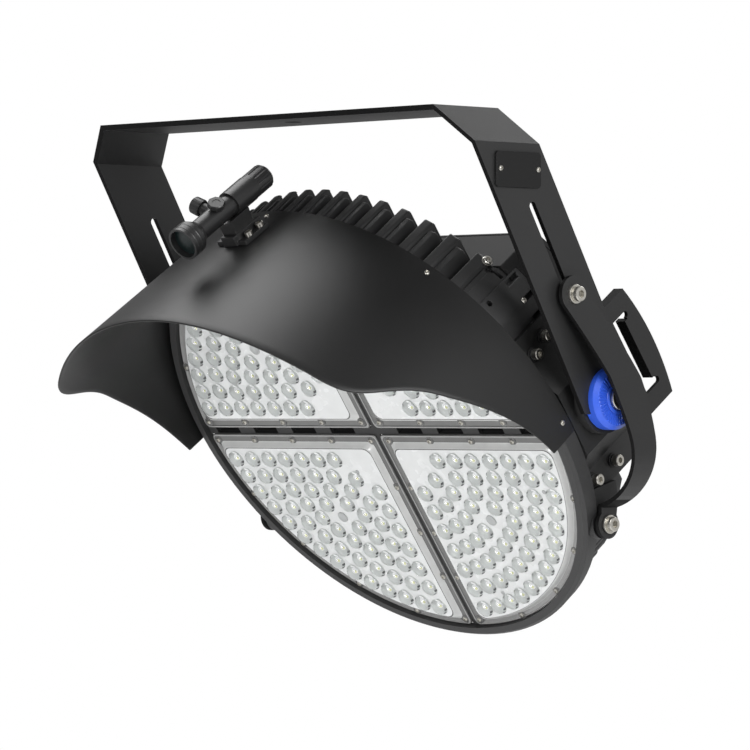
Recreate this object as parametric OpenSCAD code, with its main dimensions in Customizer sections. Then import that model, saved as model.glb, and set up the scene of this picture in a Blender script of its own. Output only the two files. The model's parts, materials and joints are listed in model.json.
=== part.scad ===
// Round stadium floodlight: a tilting LED head with a visor and a sight,
// hung in a raked yoke and held at its angle by two slotted braces.
// Millimetres, +Z up. The origin is the middle of the yoke bar's top face.

/* [Lamp head] */
// Outer radius of the front rim
rim_r = 300; // [285:1:320]
// Depth of the front rim
rim_d = 24; // [20:1:30]
// Width of the rim's front ring
ring_w = 12.5; // [10:0.5:18]
// Aim below the horizon in the rest pose, degrees
aim = 36; // [28:0.5:44]
// Distance of the pivot axis behind the rim's front
pivot_back = 77; // [70:0.5:86]
// Distance of the pivot axis below the lamp axis
pivot_low = 4; // [0:0.5:10]

/* [Heat sink] */
// Thickness of the base plate
base_t = 14; // [10:1:18]
// Depth of the fins behind the base plate
fin_d = 52; // [42:1:64]
// Thickness of a main fin
fin_t = 9.5; // [7:0.5:13]
// Thickness of the low fin beside each main fin
low_t = 5; // [4:0.5:7]
// Groove between a main fin and its low fin
fin_groove = 1; // [0.8:0.1:2]
// Spacing of the fins
fin_pitch = 28; // [25:0.2:32]
// Rounding of the fins' outer corner
fin_round = 5; // [4:0.5:10]
// Thickness of the closed block at each side
block_t = 19; // [14:1:26]
// Distance of the base plate's edge inside the body
base_in = 31; // [26:1:36]
// Height of the lowest air slot over the lamp axis
air_first = 105; // [98:1:110]
// Spacing of the air slots in a side block
air_pitch = 23.5; // [20:0.5:25]
// Length of an air slot
air_l = 21; // [16:1:23]
// Height of an air slot
air_h = 6; // [4:0.5:8]
// Distance of the flat sides inside the rim
flat_in = 38; // [34:1:46]

/* [Driver box] */
// Depth of the driver box behind the fins
box_d = 71; // [60:1:90]
// Height of the driver box above the lamp axis
box_top = 172; // [135:1:175]
// Reach of the driver box below the lamp axis
box_low = 88; // [80:1:120]
// Thickness of the box lid
lid_t = 6; // [4:0.5:8]

/* [Handles] */
// Thickness of a handle plate
handle_t = 5; // [3:0.5:6]
// Reach of a handle behind the box lid
handle_reach = 55; // [47:1:63]
// Distance of a handle's outer face from the box side
handle_out = 14; // [10:0.5:20]
// Length of the finger window
window_l = 100; // [80:1:110]
// Width of the finger window
window_w = 23; // [18:0.5:25]
// Length of a handle across the box
handle_l = 146; // [125:1:165]
// Length of the folded grip tab
tab_l = 80; // [60:1:86]

/* [Light face] */
// Half width of the gap across the face between the light modules
gap_h = 5; // [4:0.5:8]
// Half width of the upright gap between the light modules
gap_v = 3.5; // [3:0.5:7]
// Gap between the modules and the rim
gap_r = 1; // [0.5:0.5:4]
// Thickness of a module's edge flange
flange_t = 3; // [2:0.5:4]
// Width of a module's flange along its straight edges
flange_w = 12; // [8:0.5:14]
// Width of a module's flange along the rim
arc_w = 7.5; // [5:0.5:10]
// Height of the raised lens field over the flange
field_h = 6.5; // [5:0.5:9]
// Slope width around the raised lens field
field_w = 5.5; // [4:0.5:9]
// Length of a vent between the modules
vent_l = 40; // [25:1:45]
// Distance of the first vent from the middle
vent_first = 56; // [50:1:62]
// Spacing of the vents
vent_pitch = 66; // [56:1:74]

/* [Visor] */
// Length of the visor at its top
visor_len = 212; // [180:1:230]
// Outward lean of the visor, degrees
visor_lean = 2.9; // [1.5:0.1:3.4]
// Thickness of the visor sheet
visor_t = 2.5; // [1.5:0.1:3]
// How far the visor's ends reach below the lamp axis
visor_low = 9; // [4:0.5:16]

/* [Yoke] */
// Space between the rim and a leg
side_gap = 12.5; // [12:0.5:20]
// Thickness of the yoke plate
leg_t = 6; // [4:0.5:8]
// Depth of the yoke plate from front to back
leg_w = 104; // [90:1:116]
// Rake of the legs from the vertical, degrees
rake = 30.5; // [24:0.5:34]
// Width of the folded corner between bar and leg
corner = 41; // [28:1:52]
// Drop from the bar's top face to the pivot axis
pivot_drop = 325.5; // [318:0.5:350]
// Length of the legs below the pivot axis
leg_tail = 18; // [14:0.5:22]
// Radius of the mounting hole in the bar
mount_r = 10; // [7:0.5:14]
// Width of the adjusting slots
slot_w = 10; // [8:0.5:13]
// Length of the adjusting slots between their end centres
slot_l = 125; // [110:1:135]
// Distance of the name plate below the bar's top face
plate_drop = 71; // [62:1:85]
// Length of the name plate
plate_l = 72; // [55:1:80]
// Height of the name plate
plate_h = 40; // [28:1:48]
// Thickness of the name plate
plate_t = 3; // [1.5:0.5:4]

/* [Pivots] */
// Radius of the pivot bolts
bolt_r = 8; // [6:0.5:10]
// Radius of the bolt heads at the pivots
head_r = 13; // [11:0.5:15]
// Thickness of the bolt heads at the pivots
head_t = 5; // [4:0.5:6]
// Radius of an angle dial
dial_r = 36; // [30:0.5:40]
// Thickness of an angle dial
dial_t = 12; // [9:0.5:14]
// Thickness of the spacers between brackets and legs
spacer_t = 11; // [8:0.5:14]
// Thickness of a bracket plate
foot_t = 6; // [4:0.5:8]
// Depth of a bracket from front to back
foot_w = 103; // [92:1:108]
// Distance of the bracket's feet from the pivot axis
foot_out = 111; // [104:1:116]
// Length of a bracket's foot
foot_l = 33; // [26:1:40]
// Width of the arm from a bracket down to its brace pin
arm_w = 45; // [38:1:52]

/* [Braces] */
// Thickness of a brace plate
brace_t = 5; // [4:0.5:6]
// Distance of the slot bolt from the pivot axis
slot_bolt = 136; // [128:0.5:148]
// Radius of a brace's upper end
brace_r = 21; // [17:0.5:24]
// Radius of a brace's ear
ear_r = 17; // [14:0.5:19]
// Radius of the brace pins
pin_r = 5; // [4:0.5:6]
// Distance of the brace pins below the lamp axis
pin_low = 143; // [136:0.5:150]
// Distance of the brace pins behind the rim's front
pin_back = 23; // [18:0.5:28]

/* [Sight] */
// Radius of the sight's main tube
tube_r = 15.5; // [13:0.5:18]
// Radius of the narrow neck with the turrets
neck_r = 12.5; // [10:0.5:14]
// Radius of the objective
objective_r = 20; // [16:0.5:22]
// Length of the objective
objective_l = 27; // [18:1:30]
// Length of the neck
neck_l = 59; // [52:1:64]
// Length of the main tube
tube_l = 35; // [30:1:44]
// Length of the fluted end cap
cap_l = 31; // [24:1:36]
// Radius of the turret knobs
knob_r = 10; // [8:0.5:12]
// Length of the side turret's stem
stem_l = 8; // [6:0.5:13]
// Length of the side turret's knob
knob_l = 13; // [10:0.5:20]
// Height of the sight's axis over the visor
sight_up = 41.5; // [38:0.5:50]
// Roll of the two turrets about the sight's axis, degrees
turret_roll = 29; // [0:1:40]

/* [Hidden] */
$fn = 96;
eps = 0.01;
// room left beside a moving piece, at a pin and at a seat
move_gap = 5.5;
pin_gap = 0.5;
seat = 0.3;
// yoke
k = tan(rake);
leg_in = rim_r + side_gap;
leg_out = leg_in + leg_t;
py = k * pivot_drop;
pz = -pivot_drop;
leg_end = pz - leg_tail;
fold = leg_t * tan(22.5);
slot_low = slot_bolt - 12;
// lamp depths measured back from the rim's front
board_t = 2;
board_front = field_h + flange_t;
board_back = board_front + board_t;
cross_front = field_h + 1;
base_back = rim_d + base_t;
fin_back = base_back + fin_d;
low_back = fin_back - 4;
block_back = fin_back + 14;
box_back = fin_back + box_d;
core_r = rim_r - ring_w;
module_r = core_r - gap_r;
body_r = rim_r - 3;
block_r = rim_r - 8.5;
strip_r = block_r - 3.5;
fin_r = rim_r - 11;
low_r = fin_r - 2;
base_r = body_r - base_in;
flat_x = rim_r - flat_in;
block_x = flat_x - block_t;
fins = floor((block_x - fin_t - fin_groove / 2 - 2) / fin_pitch);
strip_x = fins * fin_pitch + low_t;
vents = floor((module_r - vent_l / 2 - vent_first) / vent_pitch);
// handles and gland
handle_lap = 19;
handle_mid = handle_l / 2 - box_low;
window_y = box_back + 9;
tab_w = 15;
gland_r = 13;
// visor
visor_in = rim_r + seat;
visor_back = rim_d - 2;
lean = tan(visor_lean);
visor_top = visor_in + visor_t + (visor_len + visor_back) * lean + 5;
// bracket and brace
leg_gap = 1;
arch_x = leg_in - leg_gap - spacer_t - foot_t;
foot_front = pivot_back - rim_d - 1;
arch_h = 42;
ear_x = sqrt(rim_r * rim_r - pin_low * pin_low) + 13;
brace_top_x = leg_out + move_gap;
dial_face = leg_out + dial_t;
dial_edge = 5;
brace_mid_x = dial_face + head_t + move_gap;
pin_x = sqrt(rim_r * rim_r - pow(pin_low - pin_r - 2, 2)) + 1.5;
uy = py - slot_bolt * sin(rake);
uz = pz + slot_bolt * cos(rake);
by = py + (pin_back - pivot_back) * cos(aim) - (pivot_low - pin_low) * sin(aim);
bz = pz + (pin_back - pivot_back) * sin(aim) + (pivot_low - pin_low) * cos(aim);
bend_z = pz - dial_r - 6;
bend_h = bend_z - bz - ear_r - 2;
bend_r = bend_h / sin(2 * atan((brace_mid_x - ear_x) / bend_h));
// sight, measured back along the visor's crest
sight_front = -118;
neck_front = sight_front + objective_l;
tube_front = neck_front + neck_l;
cap_front = tube_front + tube_l;
cap_end = cap_front + cap_l;
turret_y = neck_front + neck_l * 0.6;
foot_h = 12;
foot_x = 11;
clamp_y = tube_front - 18;
clamp_l = tube_l - 3;
flange_x = foot_x + 13;
clamp_h = sight_up - tube_r * 0.75;

// Places children in the lamp's own frame: Y back along the lamp axis, Z up across its face.
module lamp() {
    translate([0, py, pz]) rotate([aim, 0, 0]) translate([0, -pivot_back, pivot_low]) children();
}

// A round bar along X from x0 to x1 at y, z.
module rod_x(x0, x1, r, y = 0, z = 0) {
    translate([x0, y, z]) rotate([0, 90, 0]) cylinder(r = r, h = x1 - x0);
}

// A disc along the lamp axis between two depths.
module disc_y(y0, y1, r) {
    translate([0, y1, 0]) rotate([90, 0, 0]) cylinder(r = r, h = y1 - y0);
}

// Draws a flat outline given in Y and Z as a plate between two X values.
module plate_x(x0, x1) {
    translate([x0, 0, 0]) rotate([90, 0, 90]) linear_extrude(height = x1 - x0) children();
}

// Draws a flat outline given in X and Z as a plate between two Y values.
module plate_y(y0, y1) {
    translate([0, y1, 0]) rotate([90, 0, 0]) linear_extrude(height = y1 - y0) children();
}

// One slot in a leg, drawn in Y and Z.
module slot_shape() {
    translate([py, pz]) rotate(rake) {
        translate([-slot_w / 2, slot_low]) square([slot_w, slot_l]);
        translate([0, slot_low]) circle(r = slot_w / 2);
        translate([0, slot_low + slot_l]) circle(r = slot_w / 2);
    }
}

// The folded plate seen from the front, in X and Z.
module yoke_profile() {
    a = leg_out;
    b = leg_in;
    polygon([[-a, leg_end], [-a, -corner], [corner - a, 0], [a - corner, 0], [a, -corner], [a, leg_end],
        [b, leg_end], [b, -corner - fold], [a - corner - fold, -leg_t], [corner + fold - a, -leg_t],
        [-b, -corner - fold], [-b, leg_end]]);
}

module yoke() {
    color([0.07, 0.07, 0.08])
    difference() {
        intersection() {
            plate_y(-leg_w, leg_w / 2 - k * leg_end) yoke_profile();
            plate_x(-leg_out, leg_out)
                polygon([[-leg_w / 2, 0], [leg_w / 2, 0], [leg_w / 2 - k * leg_end, leg_end],
                    [-leg_w / 2 - k * leg_end, leg_end]]);
        }
        translate([0, 0, -leg_t - 1]) cylinder(r = mount_r, h = leg_t + 2);
        plate_x(-leg_out - 1, leg_out + 1) slot_shape();
        rod_x(-leg_out - 1, leg_out + 1, bolt_r + 2 * pin_gap, py, pz);
    }
}

// The plain name plate on the right leg, with clipped corners.
module name_plate() {
    c = 3;
    a = plate_l / 2;
    b = plate_h / 2;
    color([0.05, 0.05, 0.055])
    plate_x(leg_out, leg_out + plate_t)
    translate([k * plate_drop - 2, -plate_drop])
        polygon([[c - a, -b], [a - c, -b], [a, c - b], [a, b - c],
            [a - c, b], [c - a, b], [-a, b - c], [-a, c - b]]);
}

module rim_ring() {
    color([0.06, 0.06, 0.065])
    lamp()
    difference() {
        union() {
            disc_y(4, rim_d, rim_r);
            translate([0, 4 + eps, 0]) rotate([90, 0, 0]) cylinder(r1 = rim_r, r2 = rim_r - 4, h = 4 + eps);
        }
        disc_y(-1, rim_d + 1, core_r);
    }
}

// A round body between two depths with its rear edge rounded.
module round_body(y0, y1, r) {
    translate([0, y0, 0]) rotate([-90, 0, 0]) rotate_extrude() {
        square([r - fin_round, y1 - y0]);
        square([r, y1 - y0 - fin_round]);
        translate([r - fin_round, y1 - y0 - fin_round]) circle(r = fin_round);
    }
}

// A row of upright plates across the back, the first one starting at x0 from each grid line.
module fin_row(x0, t) {
    for (i = [-fins : fins])
        translate([i * fin_pitch + x0, rim_d, -rim_r]) cube([t, fin_back, 2 * rim_r]);
}

// The openings between the modules that let air through to the fins.
module vent_row(y0, y1) {
    for (s = [-1, 1], i = [0 : vents])
        translate([s * (vent_first + i * vent_pitch) - vent_l / 2, y0, 1 - gap_h])
            cube([vent_l, y1 - y0, 2 * gap_h - 2]);
}

// The closed side blocks, deeper above the box's lower edge than under it,
// with a lower strip that joins each one to the last fin.
module side_blocks() {
    for (s = [0, 1])
        mirror([s, 0, 0]) {
            intersection() {
                disc_y(rim_d, block_back, block_r);
                union() {
                    translate([block_x, rim_d, -rim_r]) cube([block_t, fin_back - rim_d, 2 * rim_r]);
                    translate([block_x, rim_d, -box_low]) cube([block_t, block_back - rim_d, 2 * rim_r]);
                }
            }
            intersection() {
                disc_y(rim_d, fin_back, strip_r);
                translate([strip_x, rim_d, -rim_r])
                    cube([block_x + 1 - strip_x, fin_back - rim_d, 2 * rim_r]);
            }
        }
}

// Air slots and a lifting-eye hole in the upper part of each side block.
module block_cuts() {
    for (s = [-1, 1]) {
        for (i = [0 : 2])
            translate([s * flat_x - block_t - 2, block_back - air_l - 6, air_first + i * air_pitch])
                cube([2 * block_t + 4, air_l, air_h]);
        translate([0, base_back + 3, 0]) rotate([0, s * 58, 0]) translate([0, 0, body_r - 14])
            cylinder(r = 3.5, h = 20);
        translate([0, fin_back - 7, 0]) rotate([0, s * 54, 0])
            translate([-air_l / 2, -air_h / 2, strip_r - 9]) cube([air_l, air_h, 20]);
    }
}

module heat_sink() {
    color([0.05, 0.05, 0.055])
    lamp()
    difference() {
        union() {
            disc_y(board_back, rim_d + 1, core_r);
            intersection() {
                disc_y(rim_d, base_back, base_r);
                translate([-flat_x, 0, -rim_r]) cube([2 * flat_x, box_back, 2 * rim_r]);
            }
            intersection() {
                round_body(rim_d, fin_back, fin_r);
                fin_row(-fin_t - fin_groove / 2, fin_t);
            }
            intersection() {
                round_body(rim_d, low_back, low_r);
                fin_row(fin_groove / 2, low_t);
            }
            side_blocks();
        }
        vent_row(0, base_back + 1);
        block_cuts();
    }
}

module module_cross() {
    color([0.04, 0.04, 0.045])
    lamp()
    difference() {
        intersection() {
            disc_y(0, board_back, core_r);
            union() {
                translate([-core_r, cross_front, -gap_h])
                    cube([2 * core_r, board_back - cross_front, 2 * gap_h]);
                translate([-gap_v, cross_front, -core_r])
                    cube([2 * gap_v, board_back - cross_front, 2 * core_r]);
            }
        }
        vent_row(0, base_back);
    }
}

// A quarter of the light face, seen from the front in X and Z.
module quarter(r) {
    intersection() {
        circle(r = r);
        translate([gap_v, gap_h]) square(rim_r);
    }
}

// Places children in one quarter of the light face, counted round from the upper right.
module in_quarter(i) {
    lamp() mirror([i == 2 || i == 3 ? 1 : 0, 0, 0]) mirror([0, 0, i == 3 || i == 4 ? 1 : 0]) children();
}

module board(i) {
    in_quarter(i) plate_y(board_front, board_back) quarter(core_r);
}

// A clear cover: a flat flange, and a lens field raised from it on sloping sides.
module cover(i) {
    x0 = gap_v + flange_w;
    z0 = gap_h + flange_w;
    r0 = module_r - arc_w;
    in_quarter(i)
    union() {
        plate_y(field_h, board_front) quarter(module_r);
        intersection() {
            translate([0, field_h + eps, 0]) rotate([90, 0, 0])
                cylinder(r1 = r0, r2 = r0 - field_w, h = field_h + eps);
            linear_extrude(height = rim_r)
                polygon([[x0, field_h + 1], [x0 + field_w, 0], [rim_r, 0], [rim_r, field_h + 1]]);
            plate_x(0, rim_r)
                polygon([[field_h + 1, z0], [0, z0 + field_w], [0, rim_r], [field_h + 1, rim_r]]);
        }
    }
}

module led_board_1() { color([0.9, 0.9, 0.9]) board(1); }
module led_board_2() { color([0.9, 0.9, 0.9]) board(2); }
module led_board_3() { color([0.9, 0.9, 0.9]) board(3); }
module led_board_4() { color([0.9, 0.9, 0.9]) board(4); }
module lens_cover_1() { color([0.85, 0.9, 0.92]) cover(1); }
module lens_cover_2() { color([0.85, 0.9, 0.92]) cover(2); }
module lens_cover_3() { color([0.85, 0.9, 0.92]) cover(3); }
module lens_cover_4() { color([0.85, 0.9, 0.92]) cover(4); }

// A point on a cubic curve.
function curve(a, b, c, d, t) =
    a * pow(1 - t, 3) + b * 3 * t * pow(1 - t, 2) + c * 3 * t * t * (1 - t) + d * pow(t, 3);

// The visor's front edge seen from the side: height against the part of the full length reached there.
function visor_edge() = let (r = rim_r) concat(
    [for (i = [0 : 10])
        curve([-visor_low, 0.103], [0.2 * r, 0.21], [0.317 * r, 0.36], [0.45 * r, 0.515], i / 10)],
    [for (i = [1 : 8])
        curve([0.45 * r, 0.515], [0.617 * r, 0.71], [0.6 * r, 0.93], [0.753 * r, 0.962], i / 8)],
    [for (i = [1 : 4])
        curve([0.753 * r, 0.962], [0.833 * r, 0.979], [0.95 * r, 1], [visor_top, 1], i / 4)]);

// The cone the visor is rolled to, grown by t.
module visor_cone(t) {
    h = visor_len + visor_back;
    translate([0, visor_back, 0]) rotate([90, 0, 0])
        cylinder(r1 = visor_in + t, r2 = visor_in + t + h * lean, h = h, $fn = 180);
}

module visor() {
    color([0.05, 0.05, 0.055])
    lamp()
    intersection() {
        difference() {
            visor_cone(visor_t);
            visor_cone(0);
        }
        plate_x(-leg_in, leg_in + 20)
            polygon(concat([[visor_back, visor_top], [visor_back, -visor_low]],
                [for (p = visor_edge()) [-p[1] * visor_len, p[0]]]));
    }
}

// The driver box, stepped in between the side blocks and kept within the round body.
module driver_box() {
    h = box_top + box_low;
    color([0.06, 0.06, 0.065])
    lamp()
    intersection() {
        disc_y(fin_back - 1, box_back, block_r);
        union() {
            translate([-block_x, fin_back, -box_low]) cube([2 * block_x, box_d - lid_t, h]);
            translate([-flat_x, block_back, -box_low]) cube([2 * flat_x, box_back - lid_t - block_back, h]);
        }
    }
}

// The lid, with its outer edges cut off at a slant.
module box_lid() {
    a = box_back - lid_t;
    b = box_back;
    c = lid_t / 2;
    color([0.07, 0.07, 0.075])
    lamp()
    intersection() {
        disc_y(fin_back, box_back + 1, block_r);
        plate_x(-flat_x, flat_x)
            polygon([[a, -box_low], [a + c, -box_low], [b, c - box_low],
                [b, box_top - c], [a + c, box_top], [a, box_top]]);
        translate([0, 0, -box_low]) linear_extrude(height = box_top + box_low)
            polygon([[-flat_x, a], [flat_x, a], [flat_x, a + c],
                [flat_x - c, b], [c - flat_x, b], [-flat_x, a + c]]);
    }
}

module cable_gland() {
    color([0.09, 0.09, 0.09])
    lamp()
    translate([0, (block_back + box_back) / 2, -box_low]) rotate([180, 0, 0])
    union() {
        cylinder(r = gland_r * 1.3, h = 10, $fn = 6);
        translate([0, 0, 10 - eps]) cylinder(r = gland_r, h = 16);
    }
}

// One lifting handle seen from the side: a plate with a bowed rear edge.
module handle_shape() {
    intersection() {
        translate([box_back - handle_lap, -box_low]) square([handle_lap + handle_reach, handle_l]);
        translate([box_back + handle_reach - rim_r, handle_mid]) circle(r = rim_r, $fn = 180);
    }
}

// The long finger window, with a relief notch at each end of its rear edge.
module window_shape() {
    translate([window_y, handle_mid - window_l / 2]) square([window_w, window_l]);
    for (s = [-1, 1])
        translate([window_y + window_w, handle_mid + s * (window_l / 2 - 4)]) circle(r = 4);
}

// The handle is a pan: its edges are folded to the box side, and a tab from the window makes a smooth grip.
module rear_handle(s) {
    x1 = flat_x + handle_out;
    lamp()
    mirror([s < 0 ? 1 : 0, 0, 0])
    union() {
        difference() {
            plate_x(flat_x, x1) handle_shape();
            translate([flat_x - 1, box_back - handle_lap - 1, handle_t - box_low])
                cube([handle_out + 1 - handle_t, handle_lap + handle_reach - 2 * handle_t,
                    handle_l - 2 * handle_t]);
            plate_x(flat_x - 1, x1 + 1) window_shape();
        }
        translate([x1 - tab_w, window_y + window_w - handle_t, handle_mid - tab_l / 2])
            cube([tab_w, handle_t + 1, tab_l]);
    }
}

module rear_handle_right() { color([0.07, 0.07, 0.075]) rear_handle(1); }
module rear_handle_left() { color([0.07, 0.07, 0.075]) rear_handle(-1); }

// The arched bracket that carries one pivot: closed in front, open behind, with a gusset to the brace pin.
module side_bracket(s) {
    a = foot_out;
    b = foot_out - foot_l;
    x1 = flat_x + foot_t;
    x2 = arch_x + foot_t;
    ay = pin_back - pivot_back;
    az = pivot_low - pin_low;
    c = b - foot_t;
    d = arch_h - foot_t;
    lamp()
    mirror([s < 0 ? 1 : 0, 0, 0])
    difference() {
        translate([0, pivot_back, -pivot_low])
        union() {
            difference() {
                plate_y(-foot_front, foot_w - foot_front)
                    polygon([[flat_x, a], [x1, a], [x1, b], [x2, arch_h],
                        [x2, -arch_h], [x1, -b], [x1, -a], [flat_x, -a]]);
                plate_y(foot_t - foot_front, foot_w)
                    polygon([[flat_x - 1, c], [flat_x, c], [arch_x, d],
                        [arch_x, -d], [flat_x, -c], [flat_x - 1, -c]]);
            }
            plate_x(flat_x, ear_x - 4)
                polygon([[-foot_front, -b - foot_l / 2], [arm_w - foot_front, -a],
                    [arm_w - foot_front - 9, az + 6], [ay + ear_r * 0.6, az - ear_r * 0.8],
                    [ay - ear_r + 1, az + 4]]);
            rod_x(flat_x, ear_x - 4, ear_r, ay, az);
            rod_x(flat_x, ear_x - 1, pin_r + 6, ay, az);
        }
        disc_y(-visor_len, rim_d + seat, rim_r + seat);
        disc_y(rim_d, rim_d + 1 + seat, core_r + seat);
        rod_x(arch_x - 1, leg_in, bolt_r, pivot_back, -pivot_low);
        rod_x(flat_x - 1, leg_in, pin_r, pin_back, -pin_low);
    }
}

module side_bracket_right() { color([0.06, 0.06, 0.065]) side_bracket(1); }
module side_bracket_left() { color([0.06, 0.06, 0.065]) side_bracket(-1); }

// Places children at the right pivot, or mirrored to the left one.
module at_pivot(s) {
    mirror([s < 0 ? 1 : 0, 0, 0]) translate([0, py, pz]) rotate([aim, 0, 0]) children();
}

module pivot_spacer(s) {
    at_pivot(s)
    difference() {
        rod_x(arch_x + foot_t, leg_in - leg_gap, dial_r + 4);
        rod_x(arch_x, leg_in, bolt_r);
    }
}

module pivot_spacer_right() { color([0.04, 0.04, 0.04]) pivot_spacer(1); }
module pivot_spacer_left() { color([0.04, 0.04, 0.04]) pivot_spacer(-1); }

// The angle dial is fixed to the leg and wraps under the leg's cut end.
module dial(s) {
    mirror([s < 0 ? 1 : 0, 0, 0])
    difference() {
        union() {
            rod_x(leg_out, dial_face - dial_edge, dial_r, py, pz);
            translate([dial_face - dial_edge - eps, py, pz]) rotate([0, 90, 0])
                cylinder(r1 = dial_r, r2 = dial_r - dial_edge, h = dial_edge + eps);
            intersection() {
                rod_x(leg_in, leg_out + 1, dial_r, py, pz);
                translate([leg_in, py - dial_r, pz - dial_r])
                    cube([leg_t + 1, 2 * dial_r, dial_r - leg_tail]);
            }
        }
        rod_x(leg_out - 1, dial_face + 1, bolt_r + pin_gap, py, pz);
    }
}

module dial_right() { color([0.1, 0.28, 0.85]) dial(1); }
module dial_left() { color([0.1, 0.28, 0.85]) dial(-1); }

module pivot_bolt(s) {
    at_pivot(s)
    union() {
        rod_x(arch_x - bolt_r, dial_face + 1, bolt_r);
        rod_x(dial_face + seat, dial_face + head_t, head_r);
        rod_x(arch_x - bolt_r, arch_x, head_r);
    }
}

module pivot_bolt_right() { color([0.7, 0.7, 0.7]) pivot_bolt(1); }
module pivot_bolt_left() { color([0.7, 0.7, 0.7]) pivot_bolt(-1); }

module brace_pin(s) {
    x1 = ear_x + brace_t + 1;
    mirror([s < 0 ? 1 : 0, 0, 0])
    union() {
        rod_x(pin_x, x1 + 1, pin_r, by, bz);
        rod_x(x1, x1 + 2.5, pin_r + 6, by, bz);
        rod_x(x1 + 2.5 - eps, x1 + 9, pin_r + 3.5, by, bz);
    }
}

module brace_pin_right() { color([0.75, 0.75, 0.75]) brace_pin(1); }
module brace_pin_left() { color([0.75, 0.75, 0.75]) brace_pin(-1); }

// The brace's middle line in Y and Z from the slot bolt down to the pin.
function mid_line(t) = curve([uy, uz], [py - dial_r / 4, pz + dial_r + 5],
    [py + dial_r + 14, pz - dial_r - 2], [by, bz], t);
function mid_way(t) = let (d = mid_line(t + 0.01) - mid_line(t - 0.01)) d / norm(d);
function half_width(t) = brace_r + (t < 0.45 ? t / 0.45 : 1 - 9 * pow((t - 0.45) / 0.5, 1.2));

module brace_outline() {
    n = 22;
    t1 = 0.985;
    translate([uy, uz]) circle(r = brace_r);
    translate([by, bz]) circle(r = ear_r);
    polygon(concat(
        [for (i = [0 : n]) let (t = t1 * i / n, w = mid_way(t), p = mid_line(t))
            p + [w[1], -w[0]] * half_width(t)],
        [for (i = [n : -1 : 0]) let (t = t1 * i / n, w = mid_way(t), p = mid_line(t))
            p - [w[1], -w[0]] * half_width(t)]));
}

// The brace plate seen from the front, in X and Z: flat at the bolt,
// leaning out past the dial, curled in to the ear.
module brace_profile() {
    n = 14;
    t = brace_t;
    cx = brace_mid_x + t - bend_r;
    za = uz - slot_w / 2 - 7;
    zb = pz + head_r + 12;
    out_a = acos((ear_x + t - cx) / bend_r);
    in_a = acos((ear_x - cx) / (bend_r - t));
    polygon(concat(
        [[brace_top_x + t, uz + brace_r + 2], [brace_top_x + t, za], [brace_mid_x + t, zb]],
        [for (i = [0 : n]) let (a = out_a * i / n) [cx + bend_r * cos(a), bend_z - bend_r * sin(a)]],
        [[ear_x + t, bz - ear_r - 3], [ear_x, bz - ear_r - 3]],
        [for (i = [n : -1 : 0]) let (a = in_a * i / n)
            [cx + (bend_r - t) * cos(a), bend_z - (bend_r - t) * sin(a)]],
        [[brace_mid_x, zb], [brace_top_x, za], [brace_top_x, uz + brace_r + 2]]));
}

module brace(s) {
    mirror([s < 0 ? 1 : 0, 0, 0])
    difference() {
        intersection() {
            plate_y(py - rim_r, py + rim_r) brace_profile();
            plate_x(flat_x, brace_mid_x + brace_t + 1) brace_outline();
        }
        rod_x(flat_x, leg_out, pin_r + pin_gap, by, bz);
        rod_x(leg_in, brace_mid_x + brace_t, slot_w / 2, uy, uz);
    }
}

module brace_right() { color([0.07, 0.07, 0.075]) brace(1); }
module brace_left() { color([0.07, 0.07, 0.075]) brace(-1); }

module slot_bolt(s) {
    x1 = brace_top_x + brace_t;
    mirror([s < 0 ? 1 : 0, 0, 0])
    union() {
        rod_x(brace_top_x, x1 + 1, slot_w / 2, uy, uz);
        rod_x(x1, x1 + 3, slot_w / 2 + 6, uy, uz);
        rod_x(x1 + 3 - eps, x1 + 10, slot_w / 2 + 3.5, uy, uz);
    }
}

module slot_bolt_right() { color([0.75, 0.75, 0.75]) slot_bolt(1); }
module slot_bolt_left() { color([0.75, 0.75, 0.75]) slot_bolt(-1); }

// Places children on top of the visor: Y back along its crest, Z up from the sheet.
module crest() {
    lamp() translate([0, 0, visor_in + visor_t + visor_back * lean]) rotate([-visor_lean, 0, 0]) children();
}

// A round bar along the sight's axis between two stations.
module sight_rod(y0, y1, r0, r1) {
    translate([0, y1, sight_up]) rotate([90, 0, 0]) cylinder(r1 = r1, r2 = r0, h = y1 - y0);
}

// The foot sits on the curved sheet with a hollow underside.
module sight_foot() {
    color([0.05, 0.05, 0.05])
    difference() {
        crest()
        union() {
            translate([-foot_x, clamp_y - 6, -3]) cube([2 * foot_x, clamp_l + 16, foot_h + 3]);
            translate([-flange_x, clamp_y - 3, -4]) cube([2 * flange_x, clamp_l + 10, 9]);
        }
        lamp() visor_cone(visor_t);
    }
}

module sight_clamp() {
    color([0.05, 0.05, 0.05])
    crest()
    difference() {
        plate_y(clamp_y, clamp_y + clamp_l)
            polygon([[-foot_x, foot_h], [foot_x, foot_h], [foot_x, foot_h + 5], [foot_x + 2, clamp_h],
                [-foot_x - 2, clamp_h], [-foot_x, foot_h + 5]]);
        sight_rod(clamp_y - 1, clamp_y + clamp_l + 1, tube_r, tube_r);
    }
}

module sight_tube() {
    color([0.06, 0.06, 0.06])
    crest()
    union() {
        sight_rod(neck_front, tube_front + eps, neck_r, neck_r);
        sight_rod(tube_front, cap_front, tube_r, tube_r);
    }
}

// The objective flares from the neck to a hood with the front glass set back in it.
module sight_objective() {
    y1 = sight_front + objective_l * 0.65;
    color([0.05, 0.05, 0.05])
    crest()
    difference() {
        union() {
            sight_rod(sight_front, y1 + eps, objective_r, objective_r);
            sight_rod(y1, neck_front, objective_r, neck_r + 1);
        }
        sight_rod(sight_front - 1, sight_front + 8, objective_r - 2.5, objective_r - 3.5);
    }
}

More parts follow.
